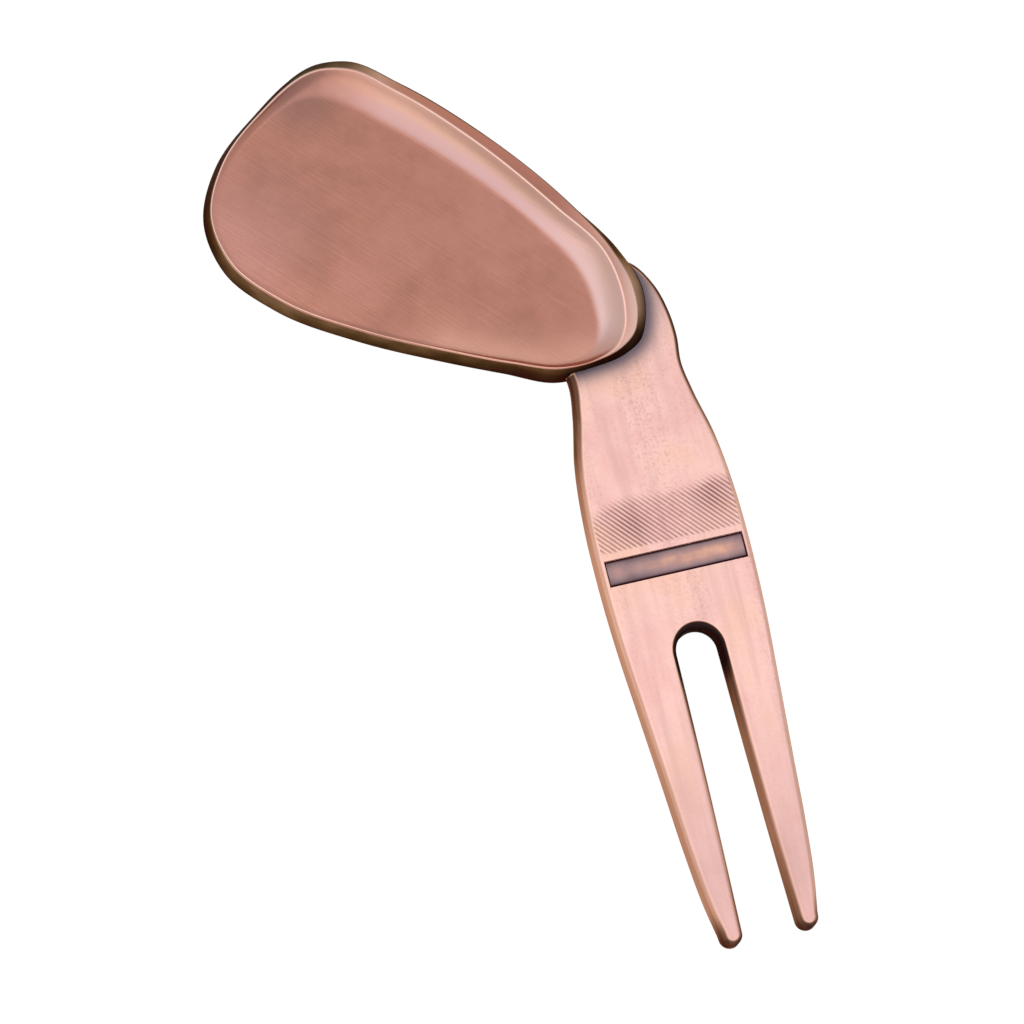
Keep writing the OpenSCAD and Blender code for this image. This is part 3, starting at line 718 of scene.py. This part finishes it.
# ---- Inlay band --------------------------------------------------------------------
# A thin strip of copper, lacquered dark and rubbed back along its middle.
# It is glued into its pocket, a little below the fork's face.
STRIP_EDGE, STRIP_DROP = 0.12, 0.06           # its rounded edge, across and down
STRIP_CROWN = 0.04                            # how far its middle stands up
STRIP_ROWS, STRIP_COLUMNS = 14, 60            # faces, which are narrower towards the edges
band_half = (BAND_HIGH[0] - BAND_LOW[0]) / 2
band_y0, band_y1 = BAND_LOW[1] - TIPS_Y / MM, BAND_HIGH[1] - TIPS_Y / MM
strip_points = []
for j in range(STRIP_ROWS + 1):
    for i in range(STRIP_COLUMNS + 1):
        s, t = (0.5 - 0.5 * math.cos(math.pi * k) for k in (i / STRIP_COLUMNS, j / STRIP_ROWS))
        x, y = -band_half + 2 * band_half * s, band_y0 + (band_y1 - band_y0) * t
        edge_gap = min(x + band_half, band_half - x, y - band_y0, band_y1 - y)
        crown = STRIP_CROWN * (1 - (2 * t - 1)**2) + 0.01 * noise.noise(Vector((x, y, 5)) / 2)
        drop = STRIP_DROP * max(0, 1 - edge_gap / STRIP_EDGE)**2
        strip_points.append([x, y, BAND_HIGH[2] - STRIP_CROWN + crown - drop])
top_n = len(strip_points)
strip_edge = ([i for i in range(STRIP_COLUMNS + 1)]
              + [(STRIP_COLUMNS + 1) * j + STRIP_COLUMNS for j in range(1, STRIP_ROWS + 1)]
              + [(STRIP_COLUMNS + 1) * STRIP_ROWS + i for i in range(STRIP_COLUMNS - 1, -1, -1)]
              + [(STRIP_COLUMNS + 1) * j for j in range(STRIP_ROWS - 1, 0, -1)])
strip_points += [[*strip_points[k][:2], BAND_LOW[2]] for k in strip_edge]
strip_faces = [(j * (STRIP_COLUMNS + 1) + i, j * (STRIP_COLUMNS + 1) + i + 1,
                (j + 1) * (STRIP_COLUMNS + 1) + i + 1, (j + 1) * (STRIP_COLUMNS + 1) + i)
               for j in range(STRIP_ROWS) for i in range(STRIP_COLUMNS)]
edge_n = len(strip_edge)
strip_faces += [(top_n + k, top_n + (k + 1) % edge_n, strip_edge[(k + 1) % edge_n], strip_edge[k])
                for k in range(edge_n)]
strip_faces.append(tuple(range(top_n, top_n + edge_n))[::-1])
strip = make_piece("inlay_strip", strip_points, strip_faces)

# black lacquer over copper, worn through along the middle: plum at the edges, copper inside
LACQUER_PATCH = 1.0 / 0.7                     # mm across a worn patch
material, tree, shader, spot = finish("rubbed_dark_lacquer", 0.9)
inset = add(tree, "Attribute", {"attribute_name": "inset"}).outputs["Fac"]
cloud = add(tree, "TexNoise", {"Scale": 1 / LACQUER_PATCH, "Detail": 5.0, "Roughness": 0.6},
            Vector=spot).outputs[0]
worn = add(tree, "Math", {"operation": "MULTIPLY_ADD", 1: 1.0, 2: 0.5}, _0=cloud).outputs[0]
worn = add(tree, "Math", {"operation": "MULTIPLY"}, _0=worn, _1=inset).outputs[0]
colour = add(tree, "ValToRGB", {"stops": [(0.02, "#33161A"), (0.14, "#6E585E"), (0.42, "#A28789"),
                                          (0.7, "#C69A92"), (1.0, "#EDB69E")]}, Fac=worn).outputs[0]
tree.links.new(colour, shader.inputs["Base Color"])
shader.inputs["Roughness"].default_value = 0.42
bump = add(tree, "Bump", {"Strength": 0.3, "Distance": 0.05 * MM}, Height=cloud)
tree.links.new(bump.outputs[0], shader.inputs["Normal"])
strip.data.materials.append(material)
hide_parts("band_inlay")
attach(strip, "root")

# the inset note: 0 at the strip's dark border, and more towards the middle, uneven along it
ALONG = ([-7.3, -6, -4.8, -1, 1, 5, 7.2], [0.4, 0.65, 0.5, 0.85, 1, 1, 0.55])
inset_note = []
for x, y, z in places(strip):
    to_middle = min(1, min((y - band_y0) / 1.1, (band_y1 - y) / 1.0))
    border = min(x + band_half - 0.06, band_half - x - 0.06, y - band_y0 - 0.2, band_y1 - y - 0.12)
    inset_note.append((0.12 + 0.75 * to_middle * np.interp(x, *ALONG)) * min(1, max(0, border) / 0.1))
keep_note(strip, "inset", inset_note)

# ---- Stage -------------------------------------------------------------------------
# A plain white table under soft light, with a long lens almost straight above it.
# The table gives off some light of its own, so that it stays white all over.
TABLE = 1.2                                   # metres from the middle to each side
floor_mesh = bpy.data.meshes.new("studio_floor")
floor_mesh.from_pydata([(-TABLE, -TABLE, 0), (TABLE, -TABLE, 0), (TABLE, TABLE, 0), (-TABLE, TABLE, 0)],
                       [], [(0, 1, 2, 3)])
studio_floor = bpy.data.objects.new("studio_floor", floor_mesh)
studio_floor.location.z = -0.02 * MM
bpy.context.scene.collection.objects.link(studio_floor)
material, tree, shader, spot = finish("white_table", 0.0)
shader.inputs["Base Color"].default_value = linear("#606060")
shader.inputs["Roughness"].default_value = 0.9
shader.inputs["Emission Color"].default_value = (1, 1, 1, 1)
shader.inputs["Emission Strength"].default_value = 0.95
floor_mesh.materials.append(material)

world = bpy.data.worlds.new("studio")
bpy.context.scene.world = world
world.use_nodes = True
world.node_tree.nodes["Background"].inputs["Color"].default_value = (1, 1, 1, 1)
world.node_tree.nodes["Background"].inputs["Strength"].default_value = 0.68


def softbox(name, towards, distance, size, power):
    """A rectangular lamp in a direction from the origin, which it faces."""
    light = bpy.data.lights.new(name, "AREA")
    light.shape = "RECTANGLE"
    light.size, light.size_y = size
    light.energy = power
    lamp = bpy.data.objects.new(name, light)
    way = Vector(towards).normalized()
    lamp.location = way * distance
    lamp.rotation_euler = way.to_track_quat("Z", "Y").to_euler()
    bpy.context.scene.collection.objects.link(lamp)


softbox("overhead", (-0.14, -0.18, 1), 0.8, (0.9, 0.9), 1.6)

# the camera's own three directions, and how far back it stands from what it looks at
VIEW_RIGHT = Vector((0.95762, -0.24589, 0.15))
VIEW_UP = Vector((0.21615, 0.95769, 0.19))
VIEW_BACK = Vector((-0.19037, -0.14953, 0.97026))
VIEW_DISTANCE = 0.8533
camera_data = bpy.data.cameras.new("camera")
camera_data.lens = 300
camera_data.sensor_width = 36
camera_data.clip_start, camera_data.clip_end = 0.05, 10
camera = bpy.data.objects.new("camera", camera_data)
look_at = Vector((AXIS_X - 15.05 * MM, TIPS_Y + 47.484 * MM, 2.8 * MM))
place = look_at + VIEW_BACK * VIEW_DISTANCE
camera.matrix_world = Matrix([[VIEW_RIGHT[i], VIEW_UP[i], VIEW_BACK[i], place[i]] for i in range(3)]
                             + [[0, 0, 0, 1]])
bpy.context.scene.collection.objects.link(camera)
bpy.context.scene.camera = camera
bpy.context.scene.view_settings.view_transform = "Standard"
